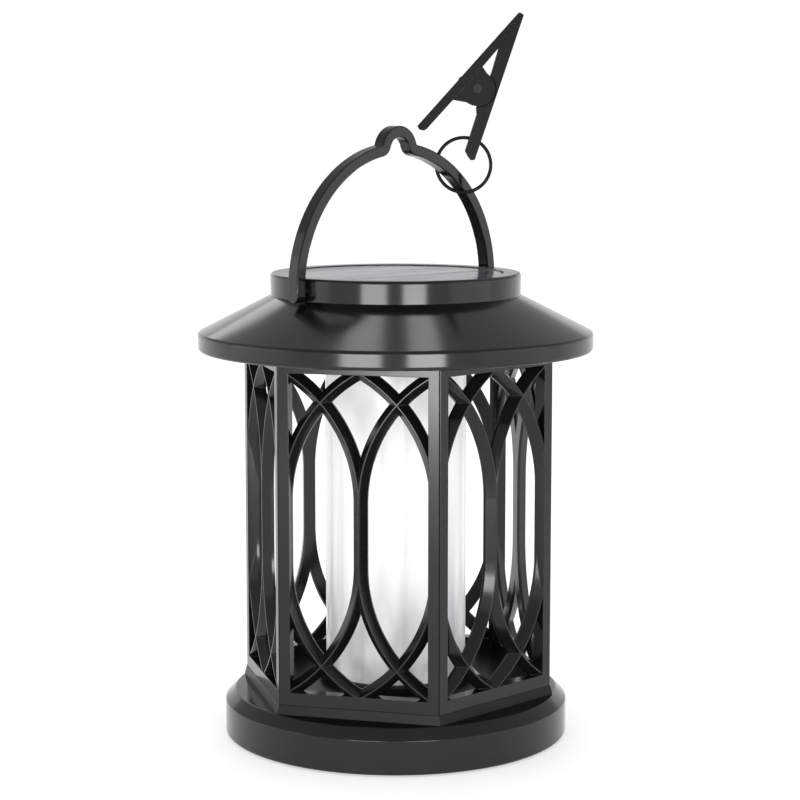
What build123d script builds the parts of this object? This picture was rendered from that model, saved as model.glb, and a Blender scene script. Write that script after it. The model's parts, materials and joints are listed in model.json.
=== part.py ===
"""Solar garden lantern with a hexagonal lattice cage, a swinging handle, a ring and a spring clip.

The frame has +Z up and its origin on the ground under the lantern's axis. The handle's pivot axis
lies along X. The cage's corners stand at 0, 60, 120, 180, 240 and 300 degrees from +X. Millimetres.
"""

import os
from math import atan2, cos, degrees, radians, sin, sqrt, tan

from build123d import *

os.makedirs("parts", exist_ok=True)


def keep(piece, name):
    """Label a finished piece and write its STEP file."""
    piece.part.label = name
    export_step(piece.part, f"parts/{name}.step")


def at_angle(radius, angle, height=0.0):
    """Return the point at a radius and an angle in degrees about the lantern's axis."""
    return Vector(radius * cos(radians(angle)), radius * sin(radians(angle)), height)


# ---- driving dimensions ---------------------------------------------------------------------

wall = 2.0
slip = 0.05

# base: a shallow round dish with a chamfered top and a round pocket for the cage's plinth
foot_proud = 0.5
base_radius = 48.2
base_bottom = foot_proud
base_wall_top = 10.0
base_top_radius = 45.4
base_top = 12.8
pocket_radius = 33.0
pocket_floor = 8.0

# cage: six flat lattice panels on a hexagonal plinth
cage_circumradius = 44.6
cage_apothem = cage_circumradius * cos(radians(30))
plinth_circumradius = 45.35
panel_bottom = 15.4
panel_top = 109.3
panel_thickness = 3.5
panel_seam = 0.08
window_half_width = 19.15
window_bottom = 18.9
window_top = 105.65

# lattice ribs: each follows a straight middle and two arcs that bend to the window's corners
rib_straight_half = 8.8
rib_arc_radius = 40.0
rib_arc_sweep = 61.0
rib_centre_offset = 0.05
almond_half_pitch = 10.5
rib_half_width = 1.9
rib_ridge_half_width = 0.18
rib_ridge_depth = 0.2
rib_flank_depth = 2.5
rib_back_depth = 3.3

# light tube and its seat
tube_radius = 19.7
tube_wall = 1.6
tube_bottom = 16.6
tube_top = 109.0
seat_radius = 21.5
seat_top = 17.6

# roof: a rim, a shallow cone and a flange under the cap
roof_rim_radius = 55.0
roof_rim_bottom = 108.8
roof_rim_top = 113.7
cone_top = 124.0
cap_radius = 34.8
cap_top = 130.2
recess_radius = 29.7
recess_floor = 127.9
flange_radius = 30.2
plate_bottom = 109.8
plate_top = 111.8
plate_radius = 52.8

# bayonet between the cage's top ring and the head's collar
collar_radius = 29.4
collar_bottom = 105.4
collar_lug_radius = 31.7
top_ring_bore = 32.0
top_ring_lug_radius = 29.7
top_ring_bottom = 105.9
top_ring_top = 109.2
top_lug_bottom = 107.4
bayonet_count = 3

# handle: a half-circle arch with a small loop at the top
pivot_height = 127.0
handle_radius = 37.25
handle_thickness = 3.1
handle_depth = 3.8
foot_end_height = 125.7
loop_radius = 5.2
loop_centre_height = 163.75
loop_bend_radius = 2.1
peg_radius = 1.5
peg_end = 31.0
peg_bore_end = 30.6

# ring on the handle, in an upright plane at 45 degrees to the pivot axis
ring_radius = 7.7
ring_wire_radius = 0.5
ring_centre = Vector(24.8, -2.4, 159.35)

# spring clip: two levers of a letter-A outline on one pin
clip_pivot = Vector(27.54, -5.14, 180.78)
clip_lean = 30.3
clip_tip_half_width = 0.8
clip_spread = 0.205
clip_tip = 24.0
clip_arm_end = -17.9
clip_half_depth = 2.5
inner_ear_near = 0.65
inner_ear_far = 1.4
outer_ear_near = 1.5
outer_ear_far = 2.3
broad_arm = 3.6
slim_arm = 2.6
ear_radius = 4.9
inner_ear_radius = 4.0
pin_radius = 0.8

# battery, boards and switch inside the head
battery_radius = 5.2
battery_axis_y = 13.0
battery_axis_height = 117.8
switch_ring_radius = 43.5
switch_angle = 75.0


# ---- base -------------------------------------------------------------------------------------

foot_ring_radius = 38.0
cover_bottom = 1.0
cover_top = 2.8
cover_screw_ring = 40.0
plinth_screw_ring = 29.0

with BuildPart() as rubber_feet:
    with BuildSketch():
        with PolarLocations(foot_ring_radius, 3, start_angle=90):
            Circle(4.0)
    extrude(amount=1.6)
    chamfer(rubber_feet.edges().group_by(Axis.Z)[0], 0.4)
keep(rubber_feet, "rubber_feet")

with BuildPart() as bottom_cover:
    with BuildSketch(Plane.XY.offset(cover_bottom)):
        Circle(base_radius - 2.4)
    extrude(amount=cover_top - cover_bottom)
    with BuildSketch(Plane.XY.offset(cover_bottom)):
        with PolarLocations(foot_ring_radius, 3, start_angle=90):
            Circle(4.1)
    extrude(amount=0.6, mode=Mode.SUBTRACT)
    with BuildSketch(Plane.XY.offset(cover_bottom)):
        with PolarLocations(cover_screw_ring, 3, start_angle=30):
            Circle(2.6)
    extrude(amount=1.0, mode=Mode.SUBTRACT)
    with BuildSketch(Plane.XY.offset(cover_bottom)):
        with PolarLocations(cover_screw_ring, 3, start_angle=30):
            Circle(1.2)
    extrude(amount=2.0, mode=Mode.SUBTRACT)
keep(bottom_cover, "bottom_cover")

with BuildPart() as base_shell:
    with BuildSketch(Plane.XZ) as base_profile:
        Polygon(
            (0, pocket_floor),
            (pocket_radius, pocket_floor),
            (pocket_radius, base_top),
            (base_top_radius, base_top),
            (base_radius, base_wall_top),
            (base_radius, base_bottom),
            (base_radius - 2.2, base_bottom),
            (base_radius - 2.2, base_wall_top - 0.9),
            (base_top_radius - 0.9, base_top - 2.2),
            (pocket_radius + 2.2, base_top - 2.2),
            (pocket_radius + 2.2, pocket_floor - 2.2),
            (0, pocket_floor - 2.2),
        )
        outer_corners = base_profile.vertices().filter_by(lambda v: v.X > base_top_radius - 0.1)
        outer_corners = outer_corners.filter_by(lambda v: v.Y > base_wall_top - 0.1)
        fillet(outer_corners, 0.45)
        rim_corners = base_profile.vertices().filter_by(lambda v: v.X > base_radius - 0.1)
        fillet(rim_corners.sort_by(Axis.Y)[0], 0.8)
    revolve()
    with BuildSketch(Plane.XY.offset(cover_top)):
        with PolarLocations(cover_screw_ring, 3, start_angle=30):
            Circle(3.0)
    extrude(amount=base_top - 1.0 - cover_top)
    with BuildSketch(Plane.XY.offset(cover_top)):
        with PolarLocations(cover_screw_ring, 3, start_angle=30):
            Circle(1.03)
    extrude(amount=6.5, mode=Mode.SUBTRACT)
    with BuildSketch(Plane.XY.offset(pocket_floor - 3.0)):
        with PolarLocations(plinth_screw_ring, 3, start_angle=90):
            Circle(1.7)
    extrude(amount=4.0, mode=Mode.SUBTRACT)
keep(base_shell, "base_shell")


def screws_from_below(ring_radius, start_angle, head_bottom, head_radius, shank_radius, shank_top):
    """Make three pan-head screws that point up, with a cross slot in each head."""
    head_height = 1.0
    with BuildPart() as screws:
        with BuildSketch(Plane.XY.offset(head_bottom)):
            with PolarLocations(ring_radius, 3, start_angle=start_angle):
                Circle(head_radius)
        extrude(amount=head_height)
        chamfer(screws.edges().group_by(Axis.Z)[0], 0.3)
        with BuildSketch(Plane.XY.offset(head_bottom + head_height)):
            with PolarLocations(ring_radius, 3, start_angle=start_angle):
                Circle(shank_radius)
        extrude(amount=shank_top - head_bottom - head_height)
        with BuildSketch(Plane.XY.offset(head_bottom)):
            with PolarLocations(ring_radius, 3, start_angle=start_angle):
                Rectangle(head_radius * 1.3, 0.5)
                Rectangle(0.5, head_radius * 1.3)
        extrude(amount=0.5, mode=Mode.SUBTRACT)
    return screws


cover_screws = screws_from_below(cover_screw_ring, 30, 1.0, 2.3, 1.0, 8.6)
keep(cover_screws, "cover_screws")

plinth_screws = screws_from_below(plinth_screw_ring, 90, pocket_floor - 3.2, 2.7, 1.5, 13.4)
keep(plinth_screws, "plinth_screws")

# ---- plinth -----------------------------------------------------------------------------------

panel_peg_spread = 14.0
panel_peg_inset = 1.75

with BuildPart() as plinth:
    with BuildSketch(Plane.XY.offset(base_top)):
        RegularPolygon(plinth_circumradius, 6)
    with BuildSketch(Plane.XY.offset(panel_bottom)):
        RegularPolygon(cage_circumradius + 0.1, 6)
    loft()
    with BuildSketch(Plane.XY.offset(pocket_floor)):
        Circle(pocket_radius - 0.15)
        Circle(25.0, mode=Mode.SUBTRACT)
    extrude(amount=base_top - pocket_floor)
    with BuildSketch(Plane.XY.offset(pocket_floor)):
        with PolarLocations(plinth_screw_ring, 3, start_angle=90):
            Circle(1.53)
    extrude(amount=5.6, mode=Mode.SUBTRACT)
    with BuildSketch(Plane.XY.offset(panel_bottom)):
        with PolarLocations(cage_apothem - panel_peg_inset, 6, start_angle=30):
            with Locations((0, -panel_peg_spread), (0, panel_peg_spread)):
                Circle(1.05)
    extrude(amount=-2.1, mode=Mode.SUBTRACT)
keep(plinth, "plinth")

# ---- light tube -------------------------------------------------------------------------------

with BuildPart() as tube_seat:
    with BuildSketch(Plane.XZ):
        Polygon(
            (15.0, panel_bottom),
            (seat_radius, panel_bottom),
            (seat_radius, seat_top - 0.5),
            (seat_radius - 0.5, seat_top),
            (tube_radius + 0.2, seat_top),
            (tube_radius + 0.2, tube_bottom),
            (tube_radius - tube_wall - 0.2, tube_bottom),
            (tube_radius - tube_wall - 0.2, seat_top),
            (15.0, seat_top),
        )
    revolve()
keep(tube_seat, "tube_seat")

with BuildPart() as light_tube:
    with BuildSketch(Plane.XY.offset(tube_bottom)):
        Circle(tube_radius)
        Circle(tube_radius - tube_wall, mode=Mode.SUBTRACT)
    extrude(amount=tube_top - tube_bottom)
    chamfer(light_tube.edges().group_by(Axis.Z)[-1], 0.3)
keep(light_tube, "light_tube")

# ---- lattice panels ---------------------------------------------------------------------------

panel_half = cage_circumradius / 2 - panel_seam
panel_back_half = panel_half - panel_thickness * tan(radians(30))
window_middle = (window_bottom + window_top) / 2
panel_face = Plane(origin=(cage_apothem, 0, window_middle), x_dir=(0, 1, 0), z_dir=(1, 0, 0))
top_peg_height = 107.5


def rib_path(side, middle):
    """Draw a rib's line on the panel: straight at the middle, with arcs that bend to `side`."""
    arc_centre = middle + side * rib_arc_radius
    inner = 90 + side * 90
    with BuildLine(panel_face.offset(-rib_ridge_depth)) as path:
        CenterArc(
            (arc_centre, rib_straight_half),
            rib_arc_radius,
            inner - side * rib_arc_sweep,
            side * rib_arc_sweep,
        )
        Line((middle, rib_straight_half), (middle, -rib_straight_half))
        CenterArc((arc_centre, -rib_straight_half), rib_arc_radius, inner, side * rib_arc_sweep)
    return path.wire()


def rib(side, middle):
    """Sweep a ridge-topped rib section along a rib's line."""
    line = rib_path(side, middle)
    start = line @ 0
    along = line % 0
    across = along.cross(panel_face.z_dir)
    flank = rib_flank_depth - rib_ridge_depth
    back = rib_back_depth - rib_ridge_depth
    with BuildPart() as solid:
        with BuildSketch(Plane(origin=start, x_dir=across, z_dir=along)):
            Polygon(
                (-rib_ridge_half_width, 0),
                (rib_ridge_half_width, 0),
                (rib_half_width, flank),
                (rib_half_width, back),
                (-rib_half_width, back),
                (-rib_half_width, flank),
            )
        sweep(path=line)
    return solid.part


far_rib = 2 * almond_half_pitch - rib_centre_offset
ribs = [
    rib(1, rib_centre_offset),
    rib(-1, -rib_centre_offset),
    rib(-1, far_rib),
    rib(1, -far_rib),
]

with BuildSketch(Plane.XY.offset(panel_bottom)) as panel_plan:
    Polygon(
        (cage_apothem, -panel_half),
        (cage_apothem, panel_half),
        (cage_apothem - panel_thickness, panel_back_half),
        (cage_apothem - panel_thickness, -panel_back_half),
    )

with BuildPart() as panel_pattern:
    add(panel_plan.sketch)
    extrude(amount=panel_top - panel_bottom)
    corner_edges = panel_pattern.edges().filter_by(Axis.Z).group_by(Axis.X)[-1]
    chamfer(corner_edges, 0.22)
    with BuildSketch(panel_face):
        Rectangle(2 * window_half_width, window_top - window_bottom)
    extrude(amount=-panel_thickness, mode=Mode.SUBTRACT)
    add(ribs)
    add(panel_plan.sketch)
    extrude(amount=panel_top - panel_bottom, mode=Mode.INTERSECT)
    with BuildSketch(Plane.XY.offset(panel_bottom)):
        with Locations(
            (cage_apothem - panel_peg_inset, -panel_peg_spread),
            (cage_apothem - panel_peg_inset, panel_peg_spread),
        ):
            Circle(1.0)
    extrude(amount=-2.0)
    with BuildSketch(Plane.YZ.offset(cage_apothem - panel_thickness)):
        with Locations((0, top_peg_height)):
            Circle(1.05)
    extrude(amount=2.1, mode=Mode.SUBTRACT)

for number in range(6):
    with BuildPart() as lattice_panel:
        with Locations(Location((0, 0, 0), (0, 0, 30 + 60 * number))):
            add(panel_pattern.part)
    keep(lattice_panel, f"lattice_panel_{number + 1}")

# ---- cage top ring ----------------------------------------------------------------------------

top_ring_apothem = cage_apothem - panel_thickness - 0.1
bayonet_first = 30.0


def lug_sketch(height, outer, inner, centres, half_angle):
    """Draw ring sectors between two radii, one about each centre angle."""
    with BuildSketch(Plane.XY.offset(height)) as sectors:
        for centre in centres:
            low = at_angle(2 * outer, centre - half_angle)
            high = at_angle(2 * outer, centre + half_angle)
            Polygon((0, 0), (low.X, low.Y), (high.X, high.Y))
        Circle(outer, mode=Mode.INTERSECT)
        Circle(inner, mode=Mode.SUBTRACT)
    return sectors.sketch


lug_centres = [bayonet_first + turn * 360 / bayonet_count for turn in range(bayonet_count)]
stop_centres = [centre + offset for centre in lug_centres for offset in (-14.6, 44.6)]

with BuildPart() as cage_top_ring:
    with BuildSketch(Plane.XY.offset(top_ring_bottom)):
        RegularPolygon(top_ring_apothem, 6, major_radius=False, rotation=0)
        Circle(top_ring_bore, mode=Mode.SUBTRACT)
    extrude(amount=top_ring_top - top_ring_bottom)
    add(lug_sketch(top_lug_bottom, top_ring_bore + 0.5, top_ring_lug_radius, lug_centres, 13))
    extrude(amount=top_ring_top - top_lug_bottom)
    add(lug_sketch(top_ring_bottom, top_ring_bore + 0.5, 30.0, stop_centres, 1.3))
    extrude(amount=top_lug_bottom - top_ring_bottom)
    for turn in range(6):
        outward = at_angle(1, 30 + 60 * turn)
        foot = at_angle(top_ring_apothem - 1.0, 30 + 60 * turn, top_peg_height)
        with BuildSketch(Plane(origin=foot, z_dir=outward)):
            Circle(1.0)
        extrude(amount=2.9)
keep(cage_top_ring, "cage_top_ring")

# ---- roof -------------------------------------------------------------------------------------

cone_slope = (cone_top - roof_rim_top) / (roof_rim_radius - cap_radius)
cone_drop = wall * sqrt(1 + cone_slope**2)


def cone_inside(radius):
    """Height of the cone's inner face at a radius."""
    return cone_top - cone_drop - (radius - cap_radius) * cone_slope


flange_bottom = cone_top - 2.0
flange_corner = cap_radius + (cone_top - cone_drop - flange_bottom) / cone_slope
roof_inner_radius = roof_rim_radius - wall
roof_screw_ring = 46.5
roof_screw_start = 15.0

with BuildPart() as roof_shell:
    with BuildSketch(Plane.XZ) as roof_profile:
        Polygon(
            (roof_inner_radius, roof_rim_bottom),
            (roof_rim_radius, roof_rim_bottom),
            (roof_rim_radius, roof_rim_top),
            (cap_radius, cone_top),
            (flange_radius, cone_top),
            (flange_radius, flange_bottom),
            (flange_corner, flange_bottom),
            (roof_inner_radius, cone_inside(roof_inner_radius)),
        )
        rim_corners = roof_profile.vertices().filter_by(lambda v: v.X > roof_rim_radius - 0.1)
        fillet(rim_corners, 1.0)
    revolve()
    with BuildSketch(Plane.XY.offset(plate_top)):
        with PolarLocations(roof_screw_ring, 3, start_angle=roof_screw_start):
            Circle(2.9)
    extrude(amount=4.4)
    with BuildSketch(Plane.XY.offset(plate_top)):
        with PolarLocations(roof_screw_ring, 3, start_angle=roof_screw_start):
            Circle(1.03)
    extrude(amount=3.4, mode=Mode.SUBTRACT)
keep(roof_shell, "roof_shell")

# ---- cap and solar panel ----------------------------------------------------------------------

wire_hole_y = -8.0

with BuildPart() as top_cap:
    with BuildSketch(Plane.XZ) as cap_profile:
        Polygon(
            (cap_radius, cone_top),
            (cap_radius, cap_top),
            (recess_radius, cap_top),
            (recess_radius, recess_floor),
            (0, recess_floor),
            (0, recess_floor - 1.5),
            (flange_radius - 1.2, recess_floor - 1.5),
            (flange_radius - 1.2, cone_top - 2.2),
            (flange_radius - 0.1, cone_top - 2.2),
            (flange_radius - 0.1, cone_top + 2.0),
            (cap_radius - wall, cone_top + 2.0),
            (cap_radius - wall, cone_top),
        )
        top_corners = cap_profile.vertices().filter_by(lambda v: v.Y > cap_top - 0.1)
        recess_corner = top_corners.sort_by(Axis.X)[0]
        chamfer(recess_corner, 0.3)
        fillet(cap_profile.vertices().group_by(Axis.X)[-1].sort_by(Axis.Y)[-1], 0.8)
    revolve()
    with BuildSketch(Plane.XY.offset(cone_top)):
        with Locations((31.5, 0), (-31.5, 0)):
            Rectangle(3.6, 7.0)
    extrude(amount=2.4)
    with BuildSketch(Plane.YZ.offset(peg_bore_end)):
        with Locations((0, pivot_height)):
            Circle(peg_radius + slip)
    extrude(amount=6.0, mode=Mode.SUBTRACT)
    with BuildSketch(Plane.YZ.offset(-peg_bore_end)):
        with Locations((0, pivot_height)):
            Circle(peg_radius + slip)
    extrude(amount=-6.0, mode=Mode.SUBTRACT)
    with BuildSketch(Plane.XY.offset(recess_floor - 2.0)):
        with Locations((0, wire_hole_y)):
            Circle(2.4)
    extrude(amount=3.0, mode=Mode.SUBTRACT)
keep(top_cap, "top_cap")

panel_radius = recess_radius - 0.3
seal_top = recess_floor + 0.5
board_top = seal_top + 0.8
cell_top = board_top + 0.2
cell_pitch = 9.2

with BuildPart() as panel_seal:
    with BuildSketch(Plane.XY.offset(recess_floor)):
        Circle(panel_radius - 0.2)
        Circle(25.0, mode=Mode.SUBTRACT)
    extrude(amount=seal_top - recess_floor)
keep(panel_seal, "panel_seal")

with BuildPart() as solar_board:
    with BuildSketch(Plane.XY.offset(seal_top)):
        Circle(panel_radius)
    extrude(amount=board_top - seal_top)
keep(solar_board, "solar_board")

with BuildPart() as solar_cells:
    with BuildSketch(Plane.XY.offset(board_top)):
        with GridLocations(cell_pitch, 60, 6, 1):
            Rectangle(cell_pitch - 0.7, 60)
        Circle(panel_radius - 1.6, mode=Mode.INTERSECT)
    extrude(amount=cell_top - board_top)
keep(solar_cells, "solar_cells")

with BuildPart() as solar_cover:
    with BuildSketch(Plane.XY.offset(cell_top + 0.02)):
        Circle(panel_radius)
    extrude(amount=0.5)
    chamfer(solar_cover.edges().group_by(Axis.Z)[-1], 0.15)
keep(solar_cover, "solar_cover")

# ---- plate under the roof, with the bayonet collar --------------------------------------------

button_radius = 2.5
button_flange = 3.3
switch_place = at_angle(switch_ring_radius, switch_angle)

with BuildPart() as under_plate:
    with BuildSketch(Plane.XY.offset(plate_bottom)):
        Circle(plate_radius)
    extrude(amount=plate_top - plate_bottom)
    with BuildSketch(Plane.XY.offset(collar_bottom)):
        Circle(collar_radius)
        Circle(collar_radius - wall, mode=Mode.SUBTRACT)
    extrude(amount=plate_bottom - collar_bottom)
    add(lug_sketch(collar_bottom, collar_lug_radius, collar_radius - 0.5, lug_centres, 12))
    extrude(amount=1.6)
    with BuildSketch(Plane.XY.offset(plate_bottom - 2.0)):
        Circle(tube_radius + 1.6)
        Circle(tube_radius + 0.4, mode=Mode.SUBTRACT)
    extrude(amount=2.0)
    with BuildSketch(Plane.XY.offset(plate_bottom)):
        Circle(3.3)
        with Locations((switch_place.X, switch_place.Y)):
            Circle(button_radius + 0.06)
        with PolarLocations(roof_screw_ring, 3, start_angle=roof_screw_start):
            Circle(1.2)
    extrude(amount=wall, mode=Mode.SUBTRACT)
    with BuildSketch(Plane.XY.offset(plate_bottom)):
        with PolarLocations(roof_screw_ring, 3, start_angle=roof_screw_start):
            Circle(2.5)
    extrude(amount=1.0, mode=Mode.SUBTRACT)
    with BuildSketch(Plane.XY.offset(plate_bottom + 1.0)):
        with Locations((switch_place.X, switch_place.Y)):
            Circle(button_flange + 0.1)
    extrude(amount=1.0, mode=Mode.SUBTRACT)
    with BuildSketch(Plane.XY.offset(plate_top)):
        with Locations((-10, -11.5), (10, -11.5), (-10, -20.5), (10, -20.5)):
            Circle(1.5)
    extrude(amount=2.5)
keep(under_plate, "under_plate")

roof_screws = screws_from_below(roof_screw_ring, roof_screw_start, plate_bottom, 2.2, 1.0, 114.9)
keep(roof_screws, "roof_screws")

# ---- switch -----------------------------------------------------------------------------------

switch_plane = Plane(origin=switch_place, x_dir=at_angle(1, switch_angle), z_dir=(0, 0, 1))

with BuildPart() as switch_body:
    with BuildSketch(switch_plane.offset(plate_top)):
        Rectangle(7.0, 7.6)
    extrude(amount=3.0)
    with BuildSketch(switch_plane.offset(plate_top)):
        Circle(1.2)
    extrude(amount=2.4, mode=Mode.SUBTRACT)
keep(switch_body, "switch_body")

button_bottom = 107.8
flange_height = 110.85
stem_bottom = 111.2
stem_top = 113.4

with BuildPart() as switch_button:
    with BuildSketch(switch_plane.offset(button_bottom)):
        Circle(button_radius)
    extrude(amount=flange_height - button_bottom)
    with BuildSketch(switch_plane.offset(flange_height)):
        Circle(button_flange)
    extrude(amount=stem_bottom - flange_height)
    with BuildSketch(switch_plane.offset(stem_bottom)):
        Circle(1.15)
    extrude(amount=stem_top - stem_bottom)
    fillet(switch_button.edges().group_by(Axis.Z)[0], 0.6)
keep(switch_button, "switch_button")

# ---- light source and electronics -------------------------------------------------------------

with BuildPart() as led_board:
    with BuildSketch(Plane.XY.offset(plate_top)):
        Circle(5.8)
    extrude(amount=1.0)
keep(led_board, "led_board")

led_radius = 2.5
led_flange_radius = 2.9
led_flange_bottom = plate_top - 1.0
led_dome_height = 105.7

with BuildPart() as led:
    with BuildSketch(Plane.XZ):
        with BuildLine():
            Line((0, plate_top), (led_flange_radius, plate_top))
            Line((led_flange_radius, plate_top), (led_flange_radius, led_flange_bottom))
            Line((led_flange_radius, led_flange_bottom), (led_radius, led_flange_bottom))
            Line((led_radius, led_flange_bottom), (led_radius, led_dome_height))
            CenterArc((0, led_dome_height), led_radius, 0, -90)
            Line((0, led_dome_height - led_radius), (0, plate_top))
        make_face()
    revolve()
keep(led, "led")

control_board_bottom = plate_top + 2.5
control_board_top = control_board_bottom + 1.2
control_board_y = -16.0

with BuildPart() as control_board:
    with BuildSketch(Plane.XY.offset(control_board_bottom)):
        with Locations((0, control_board_y)):
            RectangleRounded(26.0, 14.0, 1.0)
    extrude(amount=1.2)
keep(control_board, "control_board")

with BuildPart() as board_components:
    with BuildSketch(Plane.XY.offset(control_board_top)):
        with Locations((5.0, -17.0)):
            Rectangle(5.0, 4.0)
    extrude(amount=1.6)
    with BuildSketch(Plane.XY.offset(control_board_top)):
        with Locations((-6.5, -17.5)):
            Circle(2.4)
    extrude(amount=4.0)
    with BuildSketch(Plane.XY.offset(control_board_top)):
        with Locations((10.0, -12.0), (10.0, -20.5)):
            Rectangle(2.0, 1.2)
    extrude(amount=0.7)
keep(board_components, "board_components")

# ---- battery ----------------------------------------------------------------------------------

holder_half_length = 26.0
cavity_half_length = 24.4
holder_floor = 112.5

with BuildPart() as battery_holder:
    with BuildSketch(Plane.XY.offset(plate_top)):
        with Locations((0, battery_axis_y)):
            RectangleRounded(2 * holder_half_length, 13.4, 1.2)
    extrude(amount=9.0)
    with BuildSketch(Plane.XY.offset(holder_floor)):
        with Locations((0, battery_axis_y)):
            Rectangle(2 * cavity_half_length, 10.8)
    extrude(amount=9.0, mode=Mode.SUBTRACT)
keep(battery_holder, "battery_holder")

battery_plane = Plane(
    origin=(-21.0, battery_axis_y, battery_axis_height), x_dir=(0, 1, 0), z_dir=(1, 0, 0)
)

with BuildPart() as battery:
    with BuildSketch(battery_plane):
        Circle(battery_radius)
    extrude(amount=43.6)
    fillet(battery.edges(), 0.5)
    with BuildSketch(battery_plane.offset(43.5)):
        Circle(1.9)
    extrude(amount=1.0)
keep(battery, "battery")

with BuildPart() as plus_contact:
    with BuildSketch(battery_plane.offset(44.6)):
        RectangleRounded(7.0, 7.0, 0.8)
    extrude(amount=0.5)
keep(plus_contact, "plus_contact")

spring_coil_radius = 3.0
spring_length = 2.6
spring_wire = 0.3

with BuildPart() as battery_spring:
    with BuildLine() as coil:
        Helix(
            pitch=0.86,
            height=spring_length,
            radius=spring_coil_radius,
            center=battery_plane.offset(-0.4 - spring_length).origin,
            direction=battery_plane.z_dir,
        )
    with BuildSketch(Plane(origin=coil.line @ 0, z_dir=coil.line % 0)):
        Circle(spring_wire)
    sweep(path=coil.line, is_frenet=True)
keep(battery_spring, "battery_spring")

# ---- wires inside the head --------------------------------------------------------------------

wire_radius = 0.6


def wire(points, bend):
    """Sweep a round wire along straight runs joined by arcs."""
    with BuildPart() as solid:
        with BuildLine() as route:
            FilletPolyline(*points, radius=bend)
        with BuildSketch(Plane(origin=route.line @ 0, z_dir=route.line % 0)):
            Circle(wire_radius)
        sweep(path=route.line)
    return solid.part


def wire_pair(side):
    """Make one polarity's two wires: from the solar panel and from the battery to the board."""
    holder_end = holder_half_length + 0.05
    from_panel = [
        (side * 0.9, wire_hole_y, seal_top - 0.05),
        (side * 0.9, wire_hole_y, 122.0),
        (side * 0.9, wire_hole_y - 3.6, 118.6),
        (side * 0.9, wire_hole_y - 3.6, control_board_top + 0.05),
    ]
    from_battery = [
        (side * holder_end, battery_axis_y, 117.0),
        (side * (holder_end + 5.5), battery_axis_y, 117.0),
        (side * (holder_end + 5.5), control_board_y, 114.9),
        (side * 13.05, control_board_y, 114.9),
    ]
    return [wire(from_panel, 1.6), wire(from_battery, 5.0)]


with BuildPart() as red_wires:
    add(wire_pair(1))
keep(red_wires, "red_wires")

with BuildPart() as black_wires:
    add(wire_pair(-1))
keep(black_wires, "black_wires")

# ---- handle -----------------------------------------------------------------------------------

# Each end of the loop meets the arch in a small arc that touches both circles from outside.
bend_to_loop = loop_radius + loop_bend_radius
bend_to_arch = handle_radius + loop_bend_radius
loop_rise = loop_centre_height - pivot_height
bend_rise = (bend_to_arch**2 - bend_to_loop**2 + loop_rise**2) / (2 * loop_rise)
bend_x = sqrt(bend_to_arch**2 - bend_rise**2)
bend_z = pivot_height + bend_rise
arch_angle = degrees(atan2(bend_rise, bend_x))
loop_angle = degrees(atan2(bend_z - loop_centre_height, bend_x))
bend_sweep = arch_angle - loop_angle

with BuildPart() as handle:
    with BuildLine(Plane.XZ) as handle_line:
        Line((-handle_radius, foot_end_height), (-handle_radius, pivot_height))
        CenterArc((0, pivot_height), handle_radius, 180, -arch_angle)
        CenterArc((-bend_x, bend_z), loop_bend_radius, -arch_angle, bend_sweep)
        CenterArc((0, loop_centre_height), loop_radius, 180 - loop_angle, 2 * loop_angle - 180)
        CenterArc((bend_x, bend_z), loop_bend_radius, 180 + loop_angle, bend_sweep)
        CenterArc((0, pivot_height), handle_radius, arch_angle, -arch_angle)
        Line((handle_radius, pivot_height), (handle_radius, foot_end_height))
    section_plane = Plane(
        origin=(-handle_radius, 0, foot_end_height), x_dir=(1, 0, 0), z_dir=(0, 0, 1)
    )
    with BuildSketch(section_plane):
        RectangleRounded(handle_thickness, handle_depth, 0.4)
    sweep(path=handle_line.wire())
    for side in (-1, 1):
        with BuildSketch(Plane.YZ.offset(side * handle_radius)):
            with Locations((0, foot_end_height)):
                Circle(handle_depth / 2)
        extrude(amount=handle_thickness / 2, both=True)
        with BuildSketch(Plane.YZ.offset(side * handle_radius)):
            with Locations((0, pivot_height)):
                Circle(peg_radius)
        extrude(amount=-side * (handle_radius - peg_end))
keep(handle, "handle")

# ---- ring -------------------------------------------------------------------------------------

ring_plane = Plane(origin=ring_centre, x_dir=(1, -1, 0), z_dir=(-1, -1, 0))

with BuildPart(ring_plane) as ring:
    Torus(ring_radius, ring_wire_radius)
keep(ring, "ring")

# ---- spring clip ------------------------------------------------------------------------------

# The clip's own plane is parallel to the ring's: its y runs from the pin to the tip.
level = Vector(1, -1, 0).normalized()
upward = Vector(0, 0, 1)
clip_across = level * cos(radians(clip_lean)) - upward * sin(radians(clip_lean))
clip_plane = Plane(origin=clip_pivot, x_dir=clip_across, z_dir=(-1, -1, 0))


def clip_edge(along):
    """Half of the clip's outline width at a height along its axis."""
    return clip_tip_half_width + clip_spread * (clip_tip - along)


# The ring passes through the broad lever a little to one side of the ring's highest point.
ring_in_clip = clip_plane.to_local_coords(ring_centre)
thread_side = 0.9
thread_rise = sqrt(ring_radius**2 - thread_side**2)
hole_along = ring_in_clip.Y + thread_rise
hole_across = ring_in_clip.X - thread_side
hole_turn = degrees(atan2(thread_side, thread_rise))
hole_radius = 0.9
pocket_gap = 0.35

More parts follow.
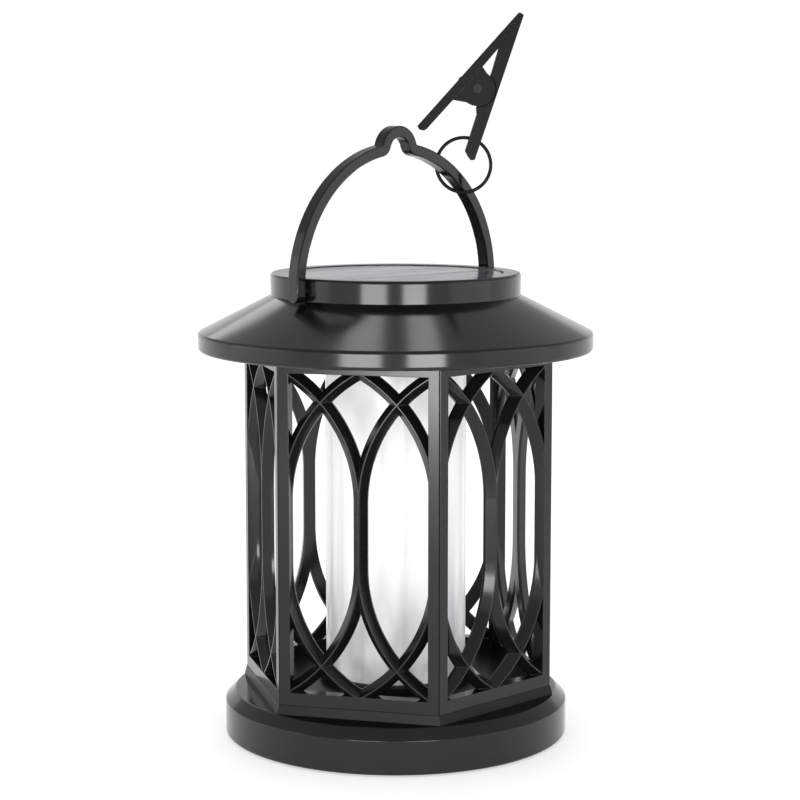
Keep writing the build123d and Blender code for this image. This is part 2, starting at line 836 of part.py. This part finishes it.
with BuildPart() as clip_lever_broad:
    with BuildSketch(clip_plane.offset(-clip_half_depth)):
        Polygon(
            (-0.02, clip_tip + 0.2),
            (clip_edge(clip_tip), clip_tip - 0.1),
            (clip_edge(clip_arm_end), clip_arm_end + 0.3),
            (clip_edge(clip_arm_end) - 0.9, clip_arm_end - 0.4),
            (clip_edge(clip_arm_end) - 2.0, clip_arm_end),
            (clip_edge(clip_arm_end) - broad_arm, clip_arm_end + 1.0),
            (clip_edge(-6.4) - broad_arm, -6.4),
            (2.3, -4.8),
            (2.1, 0),
            (1.1, 5.65),
            (-0.59, 12.5),
        )
    extrude(amount=2 * clip_half_depth)
    inner_slot = inner_ear_far + slip
    for low, high in ((-clip_half_depth - 0.1, -inner_slot), (inner_slot, clip_half_depth + 0.1)):
        with BuildSketch(clip_plane.offset(low)):
            Circle(ear_radius + pocket_gap)
        extrude(amount=high - low, mode=Mode.SUBTRACT)
    for low, high in ((-inner_ear_far, -inner_ear_near), (inner_ear_near, inner_ear_far)):
        with BuildSketch(clip_plane.offset(low)):
            Circle(inner_ear_radius)
            Polygon((0, -3.9), (0, 3.9), (3.0, 3.4), (3.4, -4.6))
            Circle(pin_radius + 0.02, mode=Mode.SUBTRACT)
        extrude(amount=high - low)
    hole_middle = clip_plane.from_local_coords((hole_across - 0.01, hole_along - 0.1, 0))
    hole_direction = clip_across * cos(radians(hole_turn)) + clip_plane.y_dir * sin(radians(hole_turn))
    with BuildSketch(Plane(origin=hole_middle, z_dir=hole_direction)):
        Circle(hole_radius)
    extrude(amount=4.0, both=True, mode=Mode.SUBTRACT)
keep(clip_lever_broad, "clip_lever_broad")

with BuildPart() as clip_lever_slim:
    with BuildSketch(clip_plane.offset(-clip_half_depth)):
        Polygon(
            (-0.12, clip_tip + 0.2),
            (-clip_edge(clip_tip), clip_tip - 0.1),
            (-clip_edge(clip_arm_end), clip_arm_end + 0.3),
            (-clip_edge(clip_arm_end) + 1.0, clip_arm_end - 0.3),
            (-clip_edge(clip_arm_end) + 2.2, clip_arm_end + 0.1),
            (-clip_edge(clip_arm_end) + slim_arm + 0.1, clip_arm_end + 0.9),
            (-clip_edge(-6.4) + slim_arm, -6.4),
            (-clip_edge(6.2) + slim_arm, 6.2),
            (-0.69, 12.5),
        )
    extrude(amount=2 * clip_half_depth)
    with BuildSketch(clip_plane.offset(-inner_slot)):
        Circle(inner_ear_radius + pocket_gap)
    extrude(amount=2 * inner_slot, mode=Mode.SUBTRACT)
    for low, high in ((-outer_ear_far, -outer_ear_near), (outer_ear_near, outer_ear_far)):
        with BuildSketch(clip_plane.offset(low)):
            Circle(ear_radius)
            Polygon((-0.6, -4.85), (-4.8, -6.4), (-6.0, 0), (-2.6, 6.2), (0.2, 4.88))
            Circle(pin_radius + 0.05, mode=Mode.SUBTRACT)
        extrude(amount=high - low)
keep(clip_lever_slim, "clip_lever_slim")

with BuildPart() as clip_pin:
    with BuildSketch(clip_plane.offset(-2.55)):
        Circle(pin_radius)
    extrude(amount=5.1)
    with BuildSketch(clip_plane.offset(-2.75)):
        Circle(1.3)
    extrude(amount=0.35)
    with BuildSketch(clip_plane.offset(2.4)):
        Circle(1.3)
    extrude(amount=0.35)
keep(clip_pin, "clip_pin")

clip_spring_radius = 1.45
clip_spring_wire = 0.2

with BuildPart() as clip_spring:
    with BuildLine() as clip_coil:
        Helix(
            pitch=0.46,
            height=0.69,
            radius=clip_spring_radius,
            center=clip_plane.offset(-0.35).origin,
            direction=clip_plane.z_dir,
        )
    with BuildSketch(Plane(origin=clip_coil.line @ 0, z_dir=clip_coil.line % 0)):
        Circle(clip_spring_wire)
    sweep(path=clip_coil.line, is_frenet=True)
keep(clip_spring, "clip_spring")
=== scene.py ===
"""Looks, light and camera for the solar garden lantern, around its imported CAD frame. Metres."""

import json
import math

import bpy
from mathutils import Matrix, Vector


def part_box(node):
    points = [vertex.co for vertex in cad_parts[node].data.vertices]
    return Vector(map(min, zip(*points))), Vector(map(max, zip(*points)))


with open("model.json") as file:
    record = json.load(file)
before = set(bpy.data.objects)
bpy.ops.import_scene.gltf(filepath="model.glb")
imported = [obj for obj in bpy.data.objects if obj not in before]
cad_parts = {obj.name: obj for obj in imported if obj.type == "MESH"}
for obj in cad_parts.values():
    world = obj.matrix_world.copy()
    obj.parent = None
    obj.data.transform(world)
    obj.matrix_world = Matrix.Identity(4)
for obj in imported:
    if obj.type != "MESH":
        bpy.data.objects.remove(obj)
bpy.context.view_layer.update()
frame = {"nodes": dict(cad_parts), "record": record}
nodes = frame["nodes"]

MM = 0.001


# ---- places taken from the frame ------------------------------------------------------------

tube_low, tube_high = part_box("light_tube")


# ---- material helpers -----------------------------------------------------------------------


class Graph:
    """One material's node tree, with its Principled shader."""

    def __init__(self, name, roughness=0.4, metallic=0.0):
        self.material = bpy.data.materials.new(name)
        self.material.use_nodes = True
        self.tree = self.material.node_tree
        self.shader = self.tree.nodes["Principled BSDF"]
        self.shader.inputs["Roughness"].default_value = roughness
        self.shader.inputs["Metallic"].default_value = metallic
        self.place = self.tree.nodes.new("ShaderNodeTexCoord").outputs["Object"]

    def node(self, kind, **values):
        """Add a node and set its properties."""
        made = self.tree.nodes.new(kind)
        for key, value in values.items():
            setattr(made, key, value)
        return made

    def link(self, source, target):
        self.tree.links.new(source, target)

    def stretched(self, scale):
        """Object coordinates, scaled along each axis."""
        mapping = self.node("ShaderNodeMapping")
        mapping.inputs["Scale"].default_value = scale
        self.link(self.place, mapping.inputs["Vector"])
        return mapping.outputs["Vector"]

    def noise(self, scale, detail=3.0, stretch=None):
        """Fractal noise over the object; scale is in features per metre."""
        made = self.node("ShaderNodeTexNoise")
        made.inputs["Scale"].default_value = scale
        made.inputs["Detail"].default_value = detail
        vector = self.stretched(stretch) if stretch else self.place
        self.link(vector, made.inputs["Vector"])
        return made.outputs["Fac"]

    def ramp(self, factor, *stops):
        """Map a factor to colours or greys; each stop is (position, value)."""
        made = self.node("ShaderNodeValToRGB")
        elements = made.color_ramp.elements
        while len(elements) < len(stops):
            elements.new(0.5)
        for element, (position, value) in zip(elements, stops):
            element.position = position
            colour = value if isinstance(value, tuple) else (value, value, value)
            element.color = (*colour, 1.0)
        self.link(factor, made.inputs["Fac"])
        return made.outputs["Color"]

    def math(self, operation, first, second=None):
        """A maths node whose inputs are sockets or numbers."""
        made = self.node("ShaderNodeMath", operation=operation)
        for socket, value in zip(made.inputs, (first, second)):
            if value is None:
                continue
            if isinstance(value, (int, float)):
                socket.default_value = value
            else:
                self.link(value, socket)
        return made.outputs["Value"]

    def mix(self, factor, first, second):
        """Blend two colours; each is a socket or an RGB tuple."""
        made = self.node("ShaderNodeMix", data_type="RGBA")
        self.link(factor, made.inputs["Factor"])
        colour_sockets = [s for s in made.inputs if s.type == "RGBA"]
        for socket, value in zip(colour_sockets, (first, second)):
            if isinstance(value, tuple):
                socket.default_value = (*value, 1.0)
            else:
                self.link(value, socket)
        return [s for s in made.outputs if s.type == "RGBA"][0]

    def falloff(self, start, share):
        """A factor that falls from 1 at a height to 0 at a share of the tube's length above it."""
        split = self.node("ShaderNodeSeparateXYZ")
        self.link(self.place, split.inputs["Vector"])
        fade = self.node("ShaderNodeMapRange")
        fade.inputs["From Min"].default_value = start
        fade.inputs["From Max"].default_value = start + share * (tube_high.z - tube_low.z)
        fade.inputs["To Min"].default_value = 1.0
        fade.inputs["To Max"].default_value = 0.0
        self.link(split.outputs["Z"], fade.inputs["Value"])
        return fade.outputs["Result"]

    def colour(self, socket):
        self.link(socket, self.shader.inputs["Base Color"])

    def roughness(self, socket):
        self.link(socket, self.shader.inputs["Roughness"])

    def bump(self, height, distance, strength=1.0, edge_radius=0.0):
        """Raise the surface by a height map, over edges rounded by edge_radius."""
        made = self.node("ShaderNodeBump")
        made.inputs["Strength"].default_value = strength
        made.inputs["Distance"].default_value = distance
        self.link(height, made.inputs["Height"])
        if edge_radius:
            bevel = self.node("ShaderNodeBevel", samples=6)
            bevel.inputs["Radius"].default_value = edge_radius
            self.link(bevel.outputs["Normal"], made.inputs["Normal"])
        self.link(made.outputs["Normal"], self.shader.inputs["Normal"])

    def edges(self, radius, low, high):
        """A mask that is 1 along sharp edges and 0 on flat faces."""
        bevel = self.node("ShaderNodeBevel", samples=6)
        bevel.inputs["Radius"].default_value = radius
        geometry = self.node("ShaderNodeNewGeometry")
        dot = self.node("ShaderNodeVectorMath", operation="DOT_PRODUCT")
        self.link(bevel.outputs["Normal"], dot.inputs[0])
        self.link(geometry.outputs["Normal"], dot.inputs[1])
        return self.ramp(dot.outputs["Value"], (low, 1.0), (high, 0.0))


def grey(value):
    """A neutral colour."""
    return (value, value, value)


def moulded_plastic(name, dark, light, roughness, edge_radius, edge_wear_and_highlight_colour, gloss):
    """Injection-moulded plastic: faint flow marks, fine grain, and paler edges that are partly wear and
    partly painted highlight.
    """
    paler_edge_width = 0.35 * MM
    grain_height = 0.006 * MM
    g = Graph(name, roughness)
    g.shader.inputs["Specular IOR Level"].default_value = gloss
    flow = g.noise(45.0, 4.0, stretch=(1.0, 1.0, 0.35))
    grain = g.noise(2600.0, 2.0)
    body = g.ramp(flow, (0.3, dark), (0.7, light))
    # paler edges: partly wear, partly a painted highlight along every ridge
    worn_and_highlit_edges = g.math("MULTIPLY", g.edges(paler_edge_width, 0.9, 0.995), g.noise(300.0, 3.0))
    g.colour(g.mix(worn_and_highlit_edges, body, edge_wear_and_highlight_colour))
    patches = g.ramp(g.noise(28.0, 5.0), (0.3, roughness - 0.02), (0.7, roughness + 0.04))
    g.roughness(patches)
    g.bump(grain, grain_height, 0.5, edge_radius)
    return g.material


def simple(name, dark, light, roughness, scale=400.0, depth=0.01 * MM, gloss=0.5):
    """A plain surface with small variations in colour and roughness."""
    g = Graph(name, roughness)
    g.shader.inputs["Specular IOR Level"].default_value = gloss
    spots = g.noise(scale, 4.0)
    g.colour(g.ramp(spots, (0.3, dark), (0.7, light)))
    g.roughness(g.ramp(spots, (0.3, roughness - 0.06), (0.7, roughness + 0.06)))
    g.bump(spots, depth, 0.6)
    return g.material


# ---- materials ------------------------------------------------------------------------------

charcoal_tones = {
    "dark": (0.0045, 0.0045, 0.0047),
    "light": (0.0065, 0.0065, 0.0067),
    "edge_radius": 0.22 * MM,
    # paler edge colour: partly wear, partly painted highlight
    "edge_wear_and_highlight_colour": grey(0.018),
}
charcoal = moulded_plastic("charcoal plastic", roughness=0.13, gloss=0.40, **charcoal_tones)
plinth_plastic = moulded_plastic("matt charcoal plastic", roughness=0.32, gloss=0.16, **charcoal_tones)

clip_plastic = moulded_plastic(
    "clip plastic",
    dark=(0.0030, 0.0030, 0.0031),
    light=(0.0045, 0.0045, 0.0047),
    roughness=0.30,
    edge_radius=0.25 * MM,
    # paler edge colour: partly wear, partly painted highlight
    edge_wear_and_highlight_colour=grey(0.02),
    gloss=0.18,
)


def frosted_tube():
    """Frosted acrylic: near white with a painted glow, lengthwise grey streaks of painted reflection
    that fade upward, and a foot greyed by painted reflection.
    """
    g = Graph("frosted tube", 0.22)
    streaks = g.noise(95.0, 3.0, stretch=(1.0, 1.0, 0.05))
    blotch_noise = g.noise(60.0, 4.0, stretch=(1.0, 1.0, 0.6))
    white = (0.78, 0.78, 0.785)
    # painted reflection: the grey of the lengthwise streaks
    painted_reflection_grey = (0.48, 0.48, 0.495)
    # painted reflection: the grey of the blotches near the foot
    painted_foot_reflection_grey = (0.40, 0.40, 0.415)
    near_foot = g.falloff(tube_low.z, 0.34)
    below_top = g.falloff(tube_low.z, 0.80)
    # painted reflection: grey streaks that fade upward along the tube
    painted_reflection_mask = g.math("MULTIPLY", g.ramp(streaks, (0.50, 0.0), (0.62, 1.0)), below_top)
    # painted reflection: grey blotches near the foot, fading upward
    painted_foot_reflection_mask = g.math("MULTIPLY", g.ramp(blotch_noise, (0.36, 0.0), (0.58, 1.0)), near_foot)
    surface = g.mix(painted_foot_reflection_mask, g.mix(painted_reflection_mask, white, painted_reflection_grey), painted_foot_reflection_grey)
    g.colour(surface)
    # painted light: the tube glows with its own colour, so it stays bright in the shade of the cage
    g.link(surface, g.shader.inputs["Emission Color"])
    g.shader.inputs["Emission Strength"].default_value = 0.36
    g.roughness(g.ramp(blotch_noise, (0.3, 0.16), (0.7, 0.30)))
    g.bump(streaks, 0.05 * MM, 0.4)
    return g.material


def solar_cell():
    """Blue-violet silicon with fine printed silver fingers and a slow change of tint."""
    g = Graph("solar cells", 0.25)
    fingers = g.node("ShaderNodeTexWave", bands_direction="Y")
    fingers.inputs["Scale"].default_value = 190.0
    fingers.inputs["Distortion"].default_value = 0.0
    g.link(g.place, fingers.inputs["Vector"])
    silicon = g.ramp(g.noise(70.0, 5.0), (0.3, (0.030, 0.028, 0.085)), (0.7, (0.060, 0.052, 0.140)))
    lines = g.ramp(fingers.outputs["Fac"], (0.93, 0.0), (0.98, 1.0))
    g.colour(g.mix(lines, silicon, (0.42, 0.42, 0.46)))
    g.bump(lines, 0.01 * MM, 0.5)
    return g.material


def panel_cover():
    """Thin clear epoxy cover with a lavender tint and long scuffed streaks."""
    g = Graph("solar cover", 0.20)
    g.shader.inputs["Transmission Weight"].default_value = 1.0
    g.shader.inputs["IOR"].default_value = 1.5
    g.shader.inputs["Specular Tint"].default_value = (0.74, 0.72, 0.90, 1.0)
    streaks = g.noise(150.0, 4.0, stretch=(0.10, 1.0, 1.0))
    g.colour(g.ramp(streaks, (0.3, (0.74, 0.73, 0.86)), (0.7, (0.84, 0.83, 0.93))))
    g.roughness(g.ramp(streaks, (0.38, 0.10), (0.62, 0.25)))
    g.bump(streaks, 0.01 * MM, 0.3)
    return g.material


def brushed(name, tone, roughness=0.3):
    """Turned or drawn metal with fine lines."""
    g = Graph(name, roughness, metallic=1.0)
    lines = g.noise(2500.0, 2.0, stretch=(1.0, 1.0, 0.05))
    bright = tuple(min(1.0, part * 1.15) for part in tone)
    g.colour(g.ramp(lines, (0.3, tone), (0.7, bright)))
    g.roughness(g.ramp(lines, (0.3, roughness - 0.06), (0.7, roughness + 0.08)))
    g.bump(lines, 0.004 * MM, 0.5)
    return g.material


looks = {
    "charcoal_plastic": charcoal,
    "clip_plastic": clip_plastic,
    "frosted_tube": frosted_tube(),
    "solar_cell": solar_cell(),
    "panel_cover": panel_cover(),
    "rubber": simple("foot rubber", grey(0.010), grey(0.020), 0.75, 900.0, depth=0.03 * MM),
    "screw_steel": brushed("screw steel", (0.55, 0.55, 0.56)),
    "pin_steel": brushed("pin steel", (0.030, 0.030, 0.032), 0.45),
    "contact_metal": brushed("contact plating", (0.70, 0.69, 0.66), 0.18),
    "seat_plastic": simple("tube seat plastic", grey(0.010), grey(0.016), 0.45, 500.0),
    "foam_seal": simple("foam seal", grey(0.012), grey(0.028), 0.9, 1800.0, depth=0.08 * MM),
    "panel_backing": simple("panel backing", (0.62, 0.62, 0.60), (0.72, 0.72, 0.70), 0.5),
    "switch_housing": simple("switch housing", grey(0.015), grey(0.025), 0.5, 500.0),
    "button_rubber": simple("button rubber", grey(0.018), grey(0.030), 0.65, 800.0, depth=0.02 * MM),
    "circuit_board": simple("circuit board", (0.010, 0.090, 0.030), (0.016, 0.130, 0.050), 0.35),
    "led_epoxy": simple("lamp epoxy", (0.80, 0.76, 0.50), (0.88, 0.84, 0.62), 0.10),
    "component_black": simple("component epoxy", grey(0.012), grey(0.022), 0.55, 900.0),
    "holder_plastic": simple("battery holder plastic", grey(0.014), grey(0.022), 0.45),
    "battery_sleeve": simple("battery sleeve", (0.030, 0.160, 0.045), (0.045, 0.200, 0.060), 0.3),
    "red_wire": simple("red insulation", (0.35, 0.012, 0.012), (0.45, 0.020, 0.018), 0.4),
    "black_wire": simple("black insulation", grey(0.012), grey(0.020), 0.4),
    "black_ring": simple("black coated wire", grey(0.003), grey(0.006), 0.40, 700.0, gloss=0.15),
}

for entry in frame["record"]["subparts"]:
    for slot in nodes[entry["node"]].material_slots:
        slot.material = looks[entry["material_slot"]]

for slot in nodes["plinth"].material_slots:
    slot.material = plinth_plastic


# ---- stage ----------------------------------------------------------------------------------


def sheet(name, width, length, place, tilt, turn, tone, glow, in_view=True):
    """A plain sheet of the studio, lying flat or standing upright and turned about the vertical."""
    bpy.ops.mesh.primitive_plane_add(size=1.0, location=place, rotation=(tilt, 0, turn))
    made = bpy.context.object
    made.name = name
    made.scale = (width, length, 1.0)
    made.visible_camera = in_view
    paper = Graph(name, 0.7)
    paper.colour(paper.ramp(paper.noise(3.0), (0.3, tone), (0.7, tone * 1.02)))
    paper.shader.inputs["Emission Color"].default_value = (1.0, 1.0, 1.0, 1.0)
    paper.shader.inputs["Emission Strength"].default_value = glow
    made.data.materials.append(paper.material)


def toward(bearing, rise=0.0):
    """The way out at a bearing in degrees from the camera's side, climbing by rise for each metre."""
    turn = camera_angle + math.radians(bearing)
    return Vector((math.sin(turn), -math.cos(turn), rise))


camera_angle = math.radians(-45.0)
to_camera = toward(0)
to_right = toward(90)
flat = 0.0
upright = math.pi / 2
floor_size = 6.0
wall_distance = 1.6
wall_height = 0.55

sheet("pale floor", floor_size, floor_size, (0, 0, 0), flat, camera_angle, tone=0.90, glow=0.52)
for side, bearing in (("back", 180), ("left", -90), ("right", 90), ("front", 0)):
    turn = camera_angle + math.radians(bearing)
    place = toward(bearing) * wall_distance + Vector((0, 0, wall_height / 2))
    width = 2 * wall_distance
    sheet(f"pale {side} wall", width, wall_height, place, upright, turn, tone=0.02, glow=1.0)

# A small grey card behind the roof, out of the camera's view, which the flat solar panel mirrors in
# place of the white wall.
card_distance = 0.5
card_height = 0.187
card_size = (0.18, 0.085)
card_place = -to_camera * card_distance + Vector((0, 0, card_height))
sheet("grey card", *card_size, card_place, upright, camera_angle, tone=0.02, glow=0.62, in_view=False)

world = bpy.data.worlds.new("studio")
world.use_nodes = True
world_shader = world.node_tree.nodes["Background"]
world_shader.inputs["Color"].default_value = (1.0, 1.0, 1.0, 1.0)
world_shader.inputs["Strength"].default_value = 0.50
bpy.context.scene.world = world
bpy.context.scene.view_settings.view_transform = "Standard"


# ---- camera ---------------------------------------------------------------------------------

camera_distance = 0.610
camera_height = 0.1746
camera_pitch = math.radians(7.5)
camera_lens = 98.9
aim_right = 1.2 * MM

aim_height = camera_height - camera_distance * math.tan(camera_pitch)
aim = to_right * aim_right + Vector((0, 0, aim_height))

camera = bpy.data.objects.new("camera", bpy.data.cameras.new("camera"))
bpy.context.scene.collection.objects.link(camera)
camera.location = to_camera * camera_distance + Vector((0, 0, camera_height))
camera.rotation_mode = "QUATERNION"
camera.rotation_quaternion = (aim - camera.location).to_track_quat("-Z", "Y")
camera.data.lens = camera_lens
camera.data.sensor_width = 36.0
camera.data.clip_start = 0.01
bpy.context.scene.camera = camera


# ---- lights ---------------------------------------------------------------------------------

floor_gap = 0.005
lantern_middle = 0.12


def softbox(name, place, width, tall, radiance, target_height=lantern_middle):
    """A rectangular soft light whose face is square to a point on the lantern's axis."""
    data = bpy.data.lights.new(name, "AREA")
    data.shape = "RECTANGLE"
    data.size = width
    data.size_y = tall
    data.energy = radiance * width * tall * math.pi
    lamp = bpy.data.objects.new(name, data)
    bpy.context.scene.collection.objects.link(lamp)
    lamp.location = place
    lamp.rotation_mode = "QUATERNION"
    target = Vector((0, 0, target_height))
    lamp.rotation_quaternion = (target - lamp.location).to_track_quat("-Z", "Y")
    lamp.visible_camera = False


def upright_box(name, left_edge, right_edge, distance, tall, radiance):
    """An upright softbox just above the floor, between two bearings from the camera's side."""
    half_angle = math.radians((right_edge - left_edge) / 2)
    width = 2 * distance * math.tan(half_angle)
    place = toward((left_edge + right_edge) / 2) * distance + Vector((0, 0, tall / 2 + floor_gap))
    softbox(name, place, width, tall, radiance, target_height=place.z)


def overhead_strip(name, sideways, width, radiance):
    """A narrow strip above and behind the lantern, which the roof's cone mirrors to the camera."""
    behind, height, length = 0.70, 1.20, 0.6
    place = -to_camera * behind + to_right * sideways + Vector((0, 0, height))
    softbox(name, place, width, length, radiance)


def high_box(name, bearing, elevation, distance, width, tall, radiance):
    """A softbox at a bearing from the camera's side and an elevation from the lantern's middle."""
    rise = math.tan(math.radians(elevation))
    place = toward(bearing, rise) * distance + Vector((0, 0, lantern_middle))
    softbox(name, place, width, tall, radiance)


upright_box("front left", left_edge=-30.0, right_edge=-7.8, distance=0.62, tall=0.10, radiance=11.3)
upright_box("front right", left_edge=6.5, right_edge=26.5, distance=0.62, tall=0.10, radiance=12.3)
upright_box("side left", left_edge=-105.0, right_edge=-62.0, distance=1.1, tall=0.7, radiance=0.8)
upright_box("side right", left_edge=50.0, right_edge=95.0, distance=1.1, tall=0.7, radiance=0.6)
overhead_strip("overhead left", sideways=-0.148, width=0.145, radiance=2.6)
overhead_strip("overhead right", sideways=0.128, width=0.115, radiance=2.6)
high_box("back left", bearing=-164.0, elevation=23.0, distance=1.4, width=0.26, tall=0.34, radiance=1.5)
